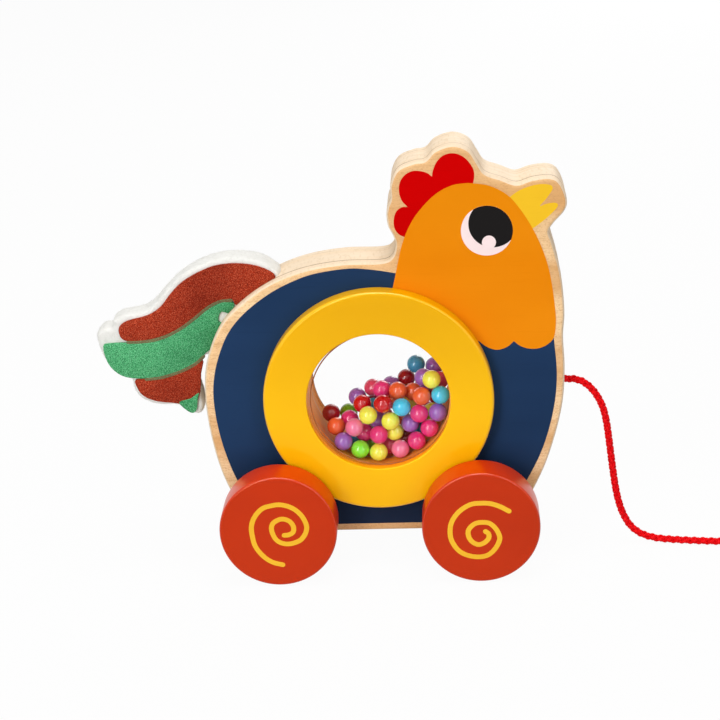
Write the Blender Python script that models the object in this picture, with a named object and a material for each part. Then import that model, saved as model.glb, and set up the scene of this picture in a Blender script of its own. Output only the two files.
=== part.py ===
"""Pull-along rooster toy: a laminated wooden bird on four wheels, with a round
window full of loose beads, a felt tail and a braided pull cord.

Blender 4.5, metres, +Z up, +X towards the beak, -Y towards the viewer of the
bird's right side. The floor is Z = 0.
"""

import math

import bmesh
import bpy
import numpy as np
from mathutils import Vector

MM = 0.001

# Gaps
GAP = 0.3 * MM                    # between pieces that touch or are glued
RUNNING = 0.3 * MM                # radial clearance of the axles

# The whole toy
TOY_CENTRE_X = 18.91 * MM         # moves the point halfway between the axles ahead of the origin

# Body: two outer panels glued on a core board
CORE_THICK = 14.9 * MM
PANEL_THICK = 5.0 * MM
ARRIS = 1.6 * MM                  # rounding of the panels' outer edges
WINDOW_X = 0.9 * MM               # centre of the round window
WINDOW_Z = 76.1 * MM
BORE_R = 30.3 * MM                # the see-through bore

# Rings on both faces
RING_R = 48.7 * MM
RING_THICK = 7.2 * MM
RING_ARRIS = 1.2 * MM

# Windows pressed into the rings
PANE_THICK = 1.8 * MM
PANE_RECESS = 3.0 * MM            # behind the ring's face
PANE_CHAMFER = 1.1 * MM
PANE_CHAMFER_DEPTH = 0.6 * MM

# Running gear
WHEEL_R = 25.0 * MM
WHEEL_THICK = 15.5 * MM
WHEEL_ARRIS = 1.3 * MM
WHEEL_SIDES = 48
WHEEL_CLEAR = 1.2 * MM            # wheel to ring
WHEEL_BORE_DEPTH = 11.0 * MM
AXLE_R = 4.0 * MM
AXLE_X = 42.85 * MM               # each axle from the middle
COLLAR_R = 7.5 * MM

# Felt tail
TAIL_CORE_THICK = 12.4 * MM
FELT_THICK = 0.8 * MM
TAIL_EDGE_SOFT = 1.4 * MM

# Beads
BEAD_R = 3.9 * MM
BEAD_GAP = 0.2 * MM

# Pull cord
CORD_R = 1.75 * MM
CORD_EXIT_Z = 77.3 * MM
CORD_HOLE_CLEAR = 0.35 * MM
KNOT_X = 63.0 * MM
KNOT_R = 4.2 * MM
KNOT_POCKET_R = 5.0 * MM
CORD_HOLE_LENGTH = 20.0 * MM      # from the knot's centre out past the breast
COIL_X = 180.0 * MM
COIL_Y = 16.0 * MM
COIL_R = 22.0 * MM                # outermost turn
COIL_PITCH = 4.15 * MM            # turn to turn, and layer to layer
COIL_TURNS_IN = 2.0
COIL_TURNS_OUT = 1.5
COIL_CLIMB_TURNS = 0.5
COIL_STEPS = 24
FLOOR_LIFT = 0.1 * MM             # lowest cord above the floor
BALL_R = 12.0 * MM
BALL_HOLE_DEPTH = 9.0 * MM
LEAD_LENGTH = 20.0 * MM           # from the last turn to the straight end at the ball

# Derived planes and heights
CORE_HALF = CORE_THICK / 2
BODY_HALF = CORE_HALF + GAP + PANEL_THICK
RING_FACE = BODY_HALF + GAP + RING_THICK
WHEEL_INNER = RING_FACE + WHEEL_CLEAR
WHEEL_OUTER = WHEEL_INNER + WHEEL_THICK
AXLE_Z = WHEEL_R * math.cos(math.pi / WHEEL_SIDES)
AXLE_BORE_R = AXLE_R + RUNNING
PANE_FACE = RING_FACE - PANE_RECESS
PANE_BACK = PANE_FACE - PANE_THICK
TAIL_HALF = TAIL_CORE_THICK / 2

# Body outline, X and Z in millimetres: from the rear end of the flat belly, over
# the back, comb and beak, and down the breast to the front end of the belly.
BODY_OUTLINE = [
    (-38.0, 13.7), (-49.5, 15.7), (-58.0, 22.3), (-64.6, 33.0), (-69.2, 46.5),
    (-72.2, 63.0), (-73.1, 79.0), (-71.2, 94.0), (-64.6, 109.0), (-54.5, 119.3),
    (-42.0, 127.5), (-28.0, 132.7), (-12.0, 135.1), (3.5, 135.2), (8.4, 137.2),
    (10.1, 142.0), (9.5, 145.8), (7.4, 150.4), (6.8, 155.0), (7.4, 159.0),
    (8.7, 162.2), (8.9, 168.4), (12.0, 174.4), (18.5, 177.2), (23.2, 178.0),
    (27.4, 182.0), (34.6, 184.1), (41.0, 181.8), (44.6, 176.4), (47.6, 171.9),
    (54.0, 169.4), (60.2, 167.1), (66.5, 168.9), (73.6, 169.5), (77.8, 167.3),
    (80.6, 160.6), (79.9, 155.5), (75.0, 149.8), (73.3, 146.3), (74.9, 141.2),
    (78.1, 128.0), (79.5, 112.0), (78.9, 100.5), (79.5, 87.0), (78.6, 71.5),
    (75.0, 55.0), (69.3, 38.5), (61.0, 23.5), (50.5, 15.5), (38.0, 13.7),
]

# Tail outline: the showing edge from its top at the back down to its lower root,
# then the tongue that sits in the core board's slot.
TAIL_OUTLINE = [
    (-43.6, 133.2), (-48.6, 135.8), (-56.5, 137.2), (-66.0, 136.2), (-74.4, 132.9),
    (-81.8, 128.3), (-87.7, 122.7), (-92.5, 117.6), (-98.0, 114.2), (-107.0, 112.8),
    (-111.0, 110.6), (-111.4, 107.8), (-115.6, 107.2), (-118.5, 104.2), (-118.0, 98.8),
    (-115.2, 91.8), (-109.6, 86.0), (-105.2, 83.6), (-104.5, 79.6), (-101.8, 74.9),
    (-94.6, 71.7), (-86.0, 71.3), (-81.4, 68.3), (-77.0, 67.2), (-75.0, 69.4),
    (-74.6, 76.0), (-74.3, 85.0), (-72.8, 94.0),
]
TAIL_TONGUE = [(-63.0, 96.0), (-56.0, 107.0), (-47.0, 115.8), (-36.5, 122.6), (-39.4, 128.0)]

# Coloured felts on each side of the tail
RED_TOP = [
    (-42.6, 131.0), (-48.0, 133.5), (-57.0, 134.8), (-66.0, 134.0), (-73.4, 131.2),
    (-80.4, 127.1), (-85.6, 122.0), (-90.2, 116.4), (-96.0, 112.8), (-104.6, 110.6),
    (-108.4, 107.8), (-108.2, 103.6), (-105.4, 101.5), (-98.4, 101.7), (-91.7, 103.0),
    (-85.0, 105.6), (-79.4, 109.1), (-73.6, 113.5), (-68.0, 117.4), (-62.5, 119.0),
    (-59.6, 119.2), (-57.2, 116.3), (-48.5, 121.6), (-40.8, 126.4),
]
GREEN_BAND = [
    (-58.8, 117.3), (-62.5, 118.3), (-68.0, 116.8), (-73.6, 112.9), (-79.4, 108.5),
    (-85.0, 105.0), (-91.7, 102.4), (-98.4, 101.1), (-105.4, 100.9), (-112.6, 100.7),
    (-115.9, 99.4), (-114.4, 91.8), (-110.4, 86.9), (-105.1, 84.8), (-96.4, 84.6),
    (-89.7, 85.8), (-83.0, 87.9), (-76.7, 91.3), (-72.4, 95.2), (-67.4, 99.6),
    (-63.4, 107.8), (-65.9, 109.4), (-64.5, 113.6), (-60.4, 112.7),
]
RED_LOW = [
    (-75.0, 91.8), (-82.8, 87.2), (-89.6, 85.1), (-96.4, 83.9), (-103.1, 83.9),
    (-102.7, 80.2), (-100.2, 76.4), (-94.4, 73.8), (-85.0, 72.5), (-82.1, 69.7),
    (-78.8, 68.5), (-77.0, 70.6), (-76.5, 78.0), (-76.0, 86.0),
]

# Beads that are nodes, where the window shows them: colour, X from the window's
# centre, depth behind the near row, and Z from the window's centre, in millimetres.
# They are eased apart below.
BEAD_PLACES = [
    ("purple", -16.0, 0.0, -21.0), ("lime", -9.0, 0.0, -24.5), ("yellow", -1.0, 0.0, -26.0),
    ("pink", 8.5, 0.0, -25.0), ("magenta", 15.5, 0.0, -21.0), ("magenta", 21.0, 0.0, -15.5),
    ("purple", 25.0, 0.0, -8.5), ("sky", 26.0, 0.0, -0.5), ("yellow", 22.5, 0.0, 6.5),
    ("orange", 18.0, 0.0, -1.0), ("magenta", 17.0, 0.0, -9.0), ("purple", 13.0, 3.5, -14.5),
    ("sky", 9.5, 0.0, -6.0), ("yellow", 4.5, 0.0, -12.0), ("magenta", -0.5, 0.0, -18.0),
    ("yellow", -5.0, 0.0, -9.0), ("pink", -11.0, 0.0, -14.5), ("red", 1.5, 0.0, -4.0),
    ("red", -7.5, 7.0, -6.5), ("yellow", 6.0, 4.5, -18.5), ("purple", -1.0, 7.0, -14.0),
    ("orange", -19.0, 5.5, -16.0), ("dark_red", -21.5, 12.5, -12.5), ("magenta", 1.0, 9.5, -1.0),
    ("orange", 8.0, 6.0, -0.5), ("purple", 19.0, 7.0, 5.0), ("orange", 14.0, 10.0, -2.5),
    ("magenta", -7.0, 6.5, -19.5), ("pink", 3.5, 7.0, -26.0), ("magenta", -13.5, 11.0, -15.0),
]
EASING_STEPS = 400

# Free cord between the breast and the coil, in millimetres: the photographed
# curve down from the breast, then the floor. Its two ends are worked out below.
CORD_ROUTE = [
    (80.0, 0.0, 77.3), (83.8, 0.0, 77.2), (87.6, 0.0, 76.0), (91.2, 0.0, 73.0),
    (94.2, 0.0, 68.8), (96.5, 0.0, 63.6), (97.9, 0.0, 57.6), (98.9, 0.0, 50.6),
    (99.9, 0.0, 42.3), (100.9, 0.0, 34.2), (102.0, 0.0, 26.4), (103.4, 0.0, 19.6),
    (105.4, 0.0, 13.6), (108.6, -0.2, 8.0), (113.2, -0.5, 4.2), (119.4, -1.2, 2.3),
    (127.0, -2.4, 1.85), (136.0, -3.9, 1.85), (146.0, -5.2, 1.85), (156.0, -5.9, 1.85),
]

COLOURS = {
    "birch": ((0.83, 0.66, 0.46), 0.55),
    "blue_panel": ((0.02, 0.05, 0.12), 0.5),
    "yellow": ((0.93, 0.55, 0.02), 0.32),
    "clear": ((0.95, 0.97, 0.97), 0.05),
    "red": ((0.55, 0.045, 0.015), 0.35),
    "dowel": ((0.80, 0.62, 0.40), 0.6),
    "white_felt": ((0.88, 0.88, 0.85), 0.95),
    "rust_felt": ((0.34, 0.035, 0.015), 0.95),
    "green_felt": ((0.07, 0.36, 0.15), 0.95),
    "cord_red": ((0.72, 0.01, 0.02), 0.8),
    "bead_purple": ((0.28, 0.08, 0.40), 0.15),
    "bead_lime": ((0.10, 0.80, 0.06), 0.15),
    "bead_yellow": ((0.93, 0.74, 0.06), 0.15),
    "bead_pink": ((0.90, 0.13, 0.28), 0.15),
    "bead_magenta": ((0.76, 0.03, 0.22), 0.15),
    "bead_sky": ((0.02, 0.40, 0.76), 0.15),
    "bead_orange": ((0.88, 0.10, 0.02), 0.15),
    "bead_red": ((0.56, 0.0, 0.01), 0.15),
    "bead_dark_red": ((0.33, 0.0, 0.02), 0.15),
}


def clear_scene():
    for old in list(bpy.data.objects):
        bpy.data.objects.remove(old, do_unlink=True)


def material(name):
    """One plain Principled material for each finish."""
    found = bpy.data.materials.get(name)
    if found:
        return found
    colour, rough = COLOURS[name]
    made = bpy.data.materials.new(name)
    made.use_nodes = True
    shader = made.node_tree.nodes["Principled BSDF"]
    shader.inputs["Base Color"].default_value = (*colour, 1.0)
    shader.inputs["Roughness"].default_value = rough
    shader.inputs["Metallic"].default_value = 0.0
    return made


def add_object(name, mesh, finish, frame, place=(0.0, 0.0, 0.0)):
    """Link a mesh as a named piece, carried by the toy's frame."""
    piece = bpy.data.objects.new(name, mesh)
    bpy.context.collection.objects.link(piece)
    piece.location = place
    piece.parent = frame
    if finish:
        piece.data.materials.append(material(finish))
    return piece


def mesh_from(bm, name):
    bmesh.ops.recalc_face_normals(bm, faces=bm.faces)
    mesh = bpy.data.meshes.new(name)
    bm.to_mesh(mesh)
    bm.free()
    return mesh


def smooth(piece, degrees=35.0):
    piece.data.shade_smooth()
    piece.data.set_sharp_from_angle(angle=math.radians(degrees))


def catmull(points, steps, closed=False):
    """Points on a smooth curve through the given ones."""
    pts = [Vector(p) for p in points]
    count = len(pts)
    out = []
    spans = count if closed else count - 1
    for i in range(spans):
        if closed:
            a, b, c, d = (pts[(i + k) % count] for k in (-1, 0, 1, 2))
        else:
            b, c = pts[i], pts[i + 1]
            a = pts[i - 1] if i > 0 else b + (b - c)
            d = pts[i + 2] if i + 2 < count else c + (c - b)
        for s in range(steps):
            t = s / steps
            out.append(0.5 * ((2 * b) + (c - a) * t + (2 * a - 5 * b + 4 * c - d) * t * t
                              + (3 * b - 3 * c + d - a) * t ** 3))
    if not closed:
        out.append(pts[-1])
    return out


def metres(points):
    return [Vector(p) * MM for p in points]


def inset(loop, distance):
    """Move a closed XZ outline inwards by a distance, along its own normals."""
    count = len(loop)
    area = sum(loop[i].x * loop[(i + 1) % count].y - loop[(i + 1) % count].x * loop[i].y
               for i in range(count))
    side = 1.0 if area > 0 else -1.0
    out = []
    for i in range(count):
        tangent = (loop[(i + 1) % count] - loop[i - 1]).normalized()
        out.append(loop[i] + side * distance * Vector((-tangent.y, tangent.x)))
    return out


def slab(name, sections):
    """A closed solid from stacked XZ outlines: [(y, outline), ...]."""
    bm = bmesh.new()
    loops = []
    for y, outline in sections:
        loops.append([bm.verts.new((p.x, y, p.y)) for p in outline])
    for low, high in zip(loops, loops[1:]):
        count = len(low)
        for i in range(count):
            j = (i + 1) % count
            bm.faces.new((low[i], low[j], high[j], high[i]))
    bm.faces.new(loops[0])
    bm.faces.new(loops[-1])
    return mesh_from(bm, name)


def turned(name, profile, sides, phase=0.0):
    """Turn a closed profile [(radius, y), ...] about the Y axis."""
    bm = bmesh.new()
    rings = []
    for radius, y in profile:
        if radius <= 0.0:
            rings.append([bm.verts.new((0.0, y, 0.0))])
            continue
        ring = []
        for i in range(sides):
            angle = phase + 2 * math.pi * i / sides
            ring.append(bm.verts.new((radius * math.cos(angle), y, radius * math.sin(angle))))
        rings.append(ring)
    closed = profile[0][0] > 0.0
    pairs = list(zip(rings, rings[1:])) + ([(rings[-1], rings[0])] if closed else [])
    for first, second in pairs:
        for i in range(sides):
            j = (i + 1) % sides
            corners = [first[i % len(first)], first[j % len(first)],
                       second[j % len(second)], second[i % len(second)]]
            kept = list(dict.fromkeys(corners))
            if len(kept) > 2:
                bm.faces.new(kept)
    return mesh_from(bm, name)


def cylinder_cutter(name, radius, half, place, sides, frame):
    """A hidden cutter along Y."""
    mesh = turned(name, [(0.0, -half), (radius, -half), (radius, half), (0.0, half)], sides)
    cutter = add_object(name, mesh, None, frame, place)
    hide_cutter(cutter)
    return cutter


def hide_cutter(cutter):
    cutter.hide_render = True
    cutter.display_type = "WIRE"


def cut(piece, cutter):
    step = piece.modifiers.new("cut_" + cutter.name, "BOOLEAN")
    step.operation = "DIFFERENCE"
    step.solver = "EXACT"
    step.object = cutter


def quarter(radius, face, edge, inward, steps=2):
    """Rounded edge of a turned profile, from the flat face to the rim."""
    out = []
    for s in range(steps + 1):
        angle = 0.5 * math.pi * s / steps
        out.append((edge - radius + radius * math.sin(angle),
                    face + inward * radius * (1 - math.cos(angle))))
    return out


def body_outline():
    return [Vector((p.x, p.y)) for p in catmull(metres(BODY_OUTLINE), 3)]


def tail_outline():
    showing = catmull(metres(TAIL_OUTLINE), 2)
    return showing + metres(TAIL_TONGUE)


def outer_panel(name, side, outline, frame):
    """Outer board with a rounded outer edge; side is -1 on the right, +1 on the left."""
    inner = side * (CORE_HALF + GAP)
    outer = side * BODY_HALF
    half_turn = ARRIS * (1 - math.cos(math.pi / 4))
    sections = [
        (inner, outline),
        (outer - side * ARRIS, outline),
        (outer - side * half_turn, inset(outline, half_turn)),
        (outer, inset(outline, ARRIS)),
    ]
    return add_object(name, slab(name, sections), "birch", frame)


def build_boards(frame, cutters):
    """The three glued boards of the body."""
    outline = body_outline()
    right = outer_panel("right_panel", -1, outline, frame)
    left = outer_panel("left_panel", 1, outline, frame)
    core = add_object("core_board", slab("core_board", [(-CORE_HALF, outline), (CORE_HALF, outline)]),
                      "birch", frame)
    for board in (right, core, left):
        for name in ("cut_bore", "cut_front_axle", "cut_rear_axle"):
            cut(board, cutters[name])
        smooth(board)
    cut(core, cutters["cut_tail"])
    cut(core, cutters["cut_knot"])
    cut(core, cutters["cut_cord"])


def build_cutters(frame):
    """Hidden shapes that make the holes and the tail's slot."""
    long_half = BODY_HALF + PANEL_THICK
    cutters = {
        "cut_bore": cylinder_cutter("cut_bore", BORE_R, long_half, (WINDOW_X, 0, WINDOW_Z), 72, frame),
        "cut_front_axle": cylinder_cutter("cut_front_axle", AXLE_BORE_R, long_half,
                                          (AXLE_X, 0, AXLE_Z), 24, frame),
        "cut_rear_axle": cylinder_cutter("cut_rear_axle", AXLE_BORE_R, long_half,
                                         (-AXLE_X, 0, AXLE_Z), 24, frame),
        "cut_knot": cylinder_cutter("cut_knot", KNOT_POCKET_R, long_half,
                                    (KNOT_X, 0, CORD_EXIT_Z), 20, frame),
    }
    tail = [Vector((p.x, p.y)) for p in tail_outline()]
    grown = inset(tail, -GAP)
    shape = add_object("cut_tail", slab("cut_tail", [(-long_half, grown), (long_half, grown)]), None, frame)
    hide_cutter(shape)
    cutters["cut_tail"] = shape
    cutters["cut_cord"] = cord_hole_cutter(frame)
    return cutters


def cord_hole_cutter(frame):
    """Hole from the breast edge back to the knot's pocket."""
    radius = CORD_R + CORD_HOLE_CLEAR
    mesh = turned("cut_cord", [(0.0, 0.0), (radius, 0.0), (radius, CORD_HOLE_LENGTH),
                               (0.0, CORD_HOLE_LENGTH)], 16)
    cutter = add_object("cut_cord", mesh, None, frame, (KNOT_X, 0.0, CORD_EXIT_Z))
    cutter.rotation_euler = (0.0, 0.0, -math.pi / 2)
    hide_cutter(cutter)
    return cutter


def build_ring(name, side, frame):
    """Painted wooden ring glued on the face; its bore is the body's bore."""
    face = side * RING_FACE
    back = side * (BODY_HALF + GAP)
    inward = -side
    outer = quarter(RING_ARRIS, face, RING_R, inward)
    bore = [(2 * BORE_R - r, y) for r, y in quarter(RING_ARRIS, face, BORE_R, inward)]
    profile = outer + [(RING_R, back), (BORE_R, back)] + list(reversed(bore))
    mesh = turned(name, profile, 72)
    ring = add_object(name, mesh, "yellow", frame, (WINDOW_X, 0.0, WINDOW_Z))
    smooth(ring)


def build_pane(name, side, frame):
    """Clear disc pressed into the ring, with a polished chamfer."""
    radius = BORE_R - GAP
    face = side * PANE_FACE
    back = side * PANE_BACK
    profile = [(0.0, face), (radius - PANE_CHAMFER, face),
               (radius, face - side * PANE_CHAMFER_DEPTH), (radius, back), (0.0, back)]
    pane = add_object(name, turned(name, profile, 72), "clear", frame, (WINDOW_X, 0.0, WINDOW_Z))
    smooth(pane, 20.0)


def build_wheel(name, side, axle_x, frame):
    """Solid turned wheel with a blind bore for the dowel."""
    face = side * WHEEL_OUTER
    back = side * WHEEL_INNER
    bottom = back + side * WHEEL_BORE_DEPTH
    outer = quarter(WHEEL_ARRIS, face, WHEEL_R, -side)
    inner = quarter(WHEEL_ARRIS, back, WHEEL_R, side)
    profile = [(0.0, face)] + outer + list(reversed(inner))
    profile += [(AXLE_R + GAP, back), (AXLE_R + GAP, bottom), (0.0, bottom)]
    mesh = turned(name, profile, WHEEL_SIDES, phase=math.pi / WHEEL_SIDES)
    wheel = add_object(name, mesh, "red", frame, (axle_x, 0.0, AXLE_Z))
    smooth(wheel)


def build_collar(name, side, axle_x, frame):
    """Plain spacer between the body's face and the wheel."""
    inner = side * (BODY_HALF + GAP)
    outer = side * (WHEEL_INNER - GAP)
    profile = [(COLLAR_R, inner), (COLLAR_R, outer), (AXLE_BORE_R, outer), (AXLE_BORE_R, inner)]
    collar = add_object(name, turned(name, profile, 24), "dowel", frame, (axle_x, 0.0, AXLE_Z))
    smooth(collar)


def build_axle(name, axle_x, frame):
    """Dowel from wheel to wheel."""
    half = WHEEL_INNER + WHEEL_BORE_DEPTH - GAP
    chamfer = 0.6 * MM
    profile = [(0.0, -half), (AXLE_R - chamfer, -half), (AXLE_R, chamfer - half),
               (AXLE_R, half - chamfer), (AXLE_R - chamfer, half), (0.0, half)]
    axle = add_object(name, turned(name, profile, 24), "dowel", frame, (axle_x, 0.0, AXLE_Z))
    smooth(axle)


def build_running_gear(frame):
    for end, axle_x in (("front", AXLE_X), ("rear", -AXLE_X)):
        build_axle(end + "_axle", axle_x, frame)
        for hand, side in (("right", -1), ("left", 1)):
            build_wheel(f"{end}_{hand}_wheel", side, axle_x, frame)
            build_collar(f"{end}_{hand}_collar", side, axle_x, frame)


def build_tail(frame):
    """Thick white felt with coloured felts glued on both sides."""
    outline = [Vector((p.x, p.y)) for p in tail_outline()]
    soft = inset(outline, TAIL_EDGE_SOFT * 0.6)
    sections = [(-TAIL_HALF, soft), (-TAIL_HALF + TAIL_EDGE_SOFT, outline),
                (TAIL_HALF - TAIL_EDGE_SOFT, outline), (TAIL_HALF, soft)]
    core = add_object("tail_felt", slab("tail_felt", sections), "white_felt", frame)
    smooth(core, 50.0)
    for hand, side in (("right", -1), ("left", 1)):
        for label, points, finish in (("upper_red", RED_TOP, "rust_felt"),
                                      ("green", GREEN_BAND, "green_felt"),
                                      ("lower_red", RED_LOW, "rust_felt")):
            build_felt(f"tail_{hand}_{label}", side, points, finish, frame)


def build_felt(name, side, points, finish, frame):
    loop = inset([Vector((p.x, p.y)) for p in metres(points)], 0.15 * MM)
    inner = side * (TAIL_HALF + GAP)
    outer = side * (TAIL_HALF + GAP + FELT_THICK)
    felt = add_object(name, slab(name, [(inner, loop), (outer, loop)]), finish, frame)
    smooth(felt, 50.0)


def ease_apart(places):
    """Push touching beads apart until each has its gap, inside the bore and panes."""
    spacing = 2 * BEAD_R + BEAD_GAP
    reach = BORE_R - BEAD_R - BEAD_GAP
    depth = PANE_BACK - BEAD_R - BEAD_GAP
    spots = np.array([(x, y, z) for _, x, y, z in places]) * MM
    spots[:, 1] -= depth
    for _ in range(EASING_STEPS):
        for i in range(len(spots)):
            for j in range(i + 1, len(spots)):
                apart = spots[j] - spots[i]
                distance = float(np.linalg.norm(apart))
                if distance < spacing:
                    push = apart / distance * (spacing - distance) * 0.5
                    spots[i] -= push
                    spots[j] += push
        spots[:, 1] = np.clip(spots[:, 1], -depth, depth)
        radius = np.linalg.norm(spots[:, [0, 2]], axis=1)
        over = radius > reach
        spots[over, 0] *= reach / radius[over]
        spots[over, 2] *= reach / radius[over]
    return spots + np.array([WINDOW_X, 0.0, WINDOW_Z])


def build_beads(frame):
    """Loose beads behind the near pane, each its own node."""
    bm = bmesh.new()
    bmesh.ops.create_icosphere(bm, subdivisions=2, radius=BEAD_R)
    mesh = mesh_from(bm, "bead")
    mesh.shade_smooth()
    spots = ease_apart(BEAD_PLACES)
    for number, (place, spot) in enumerate(zip(BEAD_PLACES, spots), start=1):
        add_object(f"bead_{number:02d}", mesh.copy(), "bead_" + place[0], frame,
                   tuple(float(v) for v in spot))


def tube(name, points, resolution, frame):
    """Cord as a bevelled curve with filled caps."""
    curve = bpy.data.curves.new(name, "CURVE")
    curve.dimensions = "3D"
    curve.resolution_u = 1
    curve.bevel_depth = CORD_R
    curve.bevel_resolution = resolution
    curve.use_fill_caps = True
    spline = curve.splines.new("POLY")
    spline.points.add(len(points) - 1)
    for spot, place in zip(spline.points, points):
        spot.co = (place[0], place[1], place[2], 1.0)
    return add_object(name, curve, "cord_red", frame)


def coil_turns():
    """One unbroken spiral: in on the floor, up a layer as it reverses, and out again."""
    base = CORD_R + FLOOR_LIFT
    total = COIL_TURNS_IN + COIL_CLIMB_TURNS + COIL_TURNS_OUT
    inner = COIL_R - COIL_PITCH * COIL_TURNS_IN
    points = []
    for s in range(int(round(total * COIL_STEPS)) + 1):
        turn = s / COIL_STEPS
        angle = 2 * math.pi * turn - math.pi / 2
        past = turn - COIL_TURNS_IN
        rise = min(max(past / COIL_CLIMB_TURNS, 0.0), 1.0)
        if past <= 0.0:
            radius = inner - COIL_PITCH * past
        elif rise < 1.0:
            radius = inner - COIL_PITCH * past * (1.0 - rise)
        else:
            radius = inner + COIL_PITCH * (past - COIL_CLIMB_TURNS)
        height = base + COIL_PITCH * (1 - math.cos(math.pi * rise)) / 2
        points.append(Vector((COIL_X + radius * math.cos(angle),
                              COIL_Y + radius * math.sin(angle), height)))
    return points


def coil_mouth():
    """Where the coil's straight start meets the free cord."""
    return Vector((COIL_X - 2 * CORD_R, COIL_Y - COIL_R, CORD_R + FLOOR_LIFT))


def coil_with_ends():
    """The turns, their straight start, and the lead that rises into the ball."""
    turns = coil_turns()
    last = turns[-1]
    rise = BALL_R - last.z
    lead = []
    for s in range(1, 6):
        way = s / 5
        lift = rise * (1 - math.cos(math.pi * way)) / 2
        lead.append(last + Vector((LEAD_LENGTH * way, 0.0, lift)))
    mouth = lead[-1] + Vector((2 * CORD_R, 0.0, 0.0))
    end = mouth + Vector((BALL_HOLE_DEPTH - GAP, 0.0, 0.0))
    sagitta = BALL_R - math.sqrt(BALL_R ** 2 - (CORD_R + CORD_HOLE_CLEAR) ** 2)
    centre = mouth + Vector((BALL_R - sagitta, 0.0, 0.0))
    return [coil_mouth()] + turns + lead + [end], centre


def run_points():
    """The free cord, square and straight where it meets the knot and the coil."""
    knot_face = KNOT_X + KNOT_R + GAP
    start = Vector((knot_face, 0.0, CORD_EXIT_Z))
    end = coil_mouth() - Vector((GAP, 0.0, 0.0))
    straight = end - Vector((4 * CORD_R, 0.0, 0.0))
    middle = start + Vector((2 * CORD_R, 0.0, 0.0))
    return catmull([start, middle] + metres(CORD_ROUTE) + [straight, end], 2)


def least_gap(points, skip=8):
    """Smallest clear distance between turns, measured on the tube's points."""
    spots = np.array([tuple(p) for p in points])
    nearest = 1.0
    for i in range(len(spots) - skip):
        distance = np.linalg.norm(spots[i + skip:] - spots[i], axis=1).min()
        nearest = min(nearest, float(distance))
    return nearest - 2 * CORD_R


def build_cord(frame):
    """Knot in the breast, free cord, its put-away coil and the ball at its end."""
    bm = bmesh.new()
    bmesh.ops.create_icosphere(bm, subdivisions=2, radius=KNOT_R)
    add_object("cord_knot", mesh_from(bm, "cord_knot"), "cord_red", frame, (KNOT_X, 0.0, CORD_EXIT_Z))
    tube("pull_cord", run_points(), 2, frame)
    points, centre = coil_with_ends()
    tube("cord_coil", points, 1, frame)
    print("least gap between turns, mm:", round(least_gap(points) * 1000, 2))
    build_ball(centre, frame)


def build_ball(centre, frame):
    """Turned ball with a blind hole that takes the cord's end."""
    hole = CORD_R + CORD_HOLE_CLEAR
    mouth_angle = math.asin(hole / BALL_R)
    mouth_x = -BALL_R * math.cos(mouth_angle)
    rows = 10
    profile = [(0.0, BALL_R)]
    for i in range(1, rows + 1):
        angle = i * (math.pi - mouth_angle) / rows
        profile.append((BALL_R * math.sin(angle), BALL_R * math.cos(angle)))
    profile += [(hole, mouth_x + BALL_HOLE_DEPTH), (0.0, mouth_x + BALL_HOLE_DEPTH)]
    ball = add_object("pull_ball", turned("pull_ball", profile, 24), "red", frame, tuple(centre))
    ball.rotation_euler = (0.0, 0.0, -math.pi / 2)
    smooth(ball)


def main():
    clear_scene()
    frame = bpy.data.objects.new("toy_frame", None)
    bpy.context.collection.objects.link(frame)
    frame.location = (TOY_CENTRE_X, 0.0, 0.0)
    cutters = build_cutters(frame)
    build_boards(frame, cutters)
    for hand, side in (("right", -1), ("left", 1)):
        build_ring(hand + "_ring", side, frame)
        build_pane(hand + "_pane", side, frame)
    build_running_gear(frame)
    build_tail(frame)
    build_beads(frame)
    build_cord(frame)


main()
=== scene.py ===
import math

import bmesh
import bpy
import numpy as np
from mathutils import Matrix, Vector, noise


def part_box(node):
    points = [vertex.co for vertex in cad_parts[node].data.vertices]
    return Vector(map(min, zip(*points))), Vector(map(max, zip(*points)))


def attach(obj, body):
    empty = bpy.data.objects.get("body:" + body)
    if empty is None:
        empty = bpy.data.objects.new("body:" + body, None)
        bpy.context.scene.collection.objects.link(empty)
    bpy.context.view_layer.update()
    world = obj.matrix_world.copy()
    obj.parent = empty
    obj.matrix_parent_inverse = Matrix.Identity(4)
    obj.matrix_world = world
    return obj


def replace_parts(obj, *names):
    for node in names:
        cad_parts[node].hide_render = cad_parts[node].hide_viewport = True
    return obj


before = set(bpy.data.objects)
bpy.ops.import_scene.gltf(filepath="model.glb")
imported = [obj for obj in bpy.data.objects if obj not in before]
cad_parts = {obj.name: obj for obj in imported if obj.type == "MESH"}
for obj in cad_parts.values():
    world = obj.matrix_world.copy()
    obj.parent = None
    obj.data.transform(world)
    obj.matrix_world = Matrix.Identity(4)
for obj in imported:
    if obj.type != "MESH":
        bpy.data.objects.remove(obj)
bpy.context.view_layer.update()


# Camera. It stands where the photograph was taken: 3 degrees round towards the toy's
# front from square on, 20 degrees above it, and turned slightly on its own axis.
MM = 0.001
AHEAD = 18.91                     # the axles' middle lies this far ahead of the origin, mm


def placed(name, data):
    """A new object in the scene."""
    made = bpy.data.objects.new(name, data)
    bpy.context.collection.objects.link(made)
    return made


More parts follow.
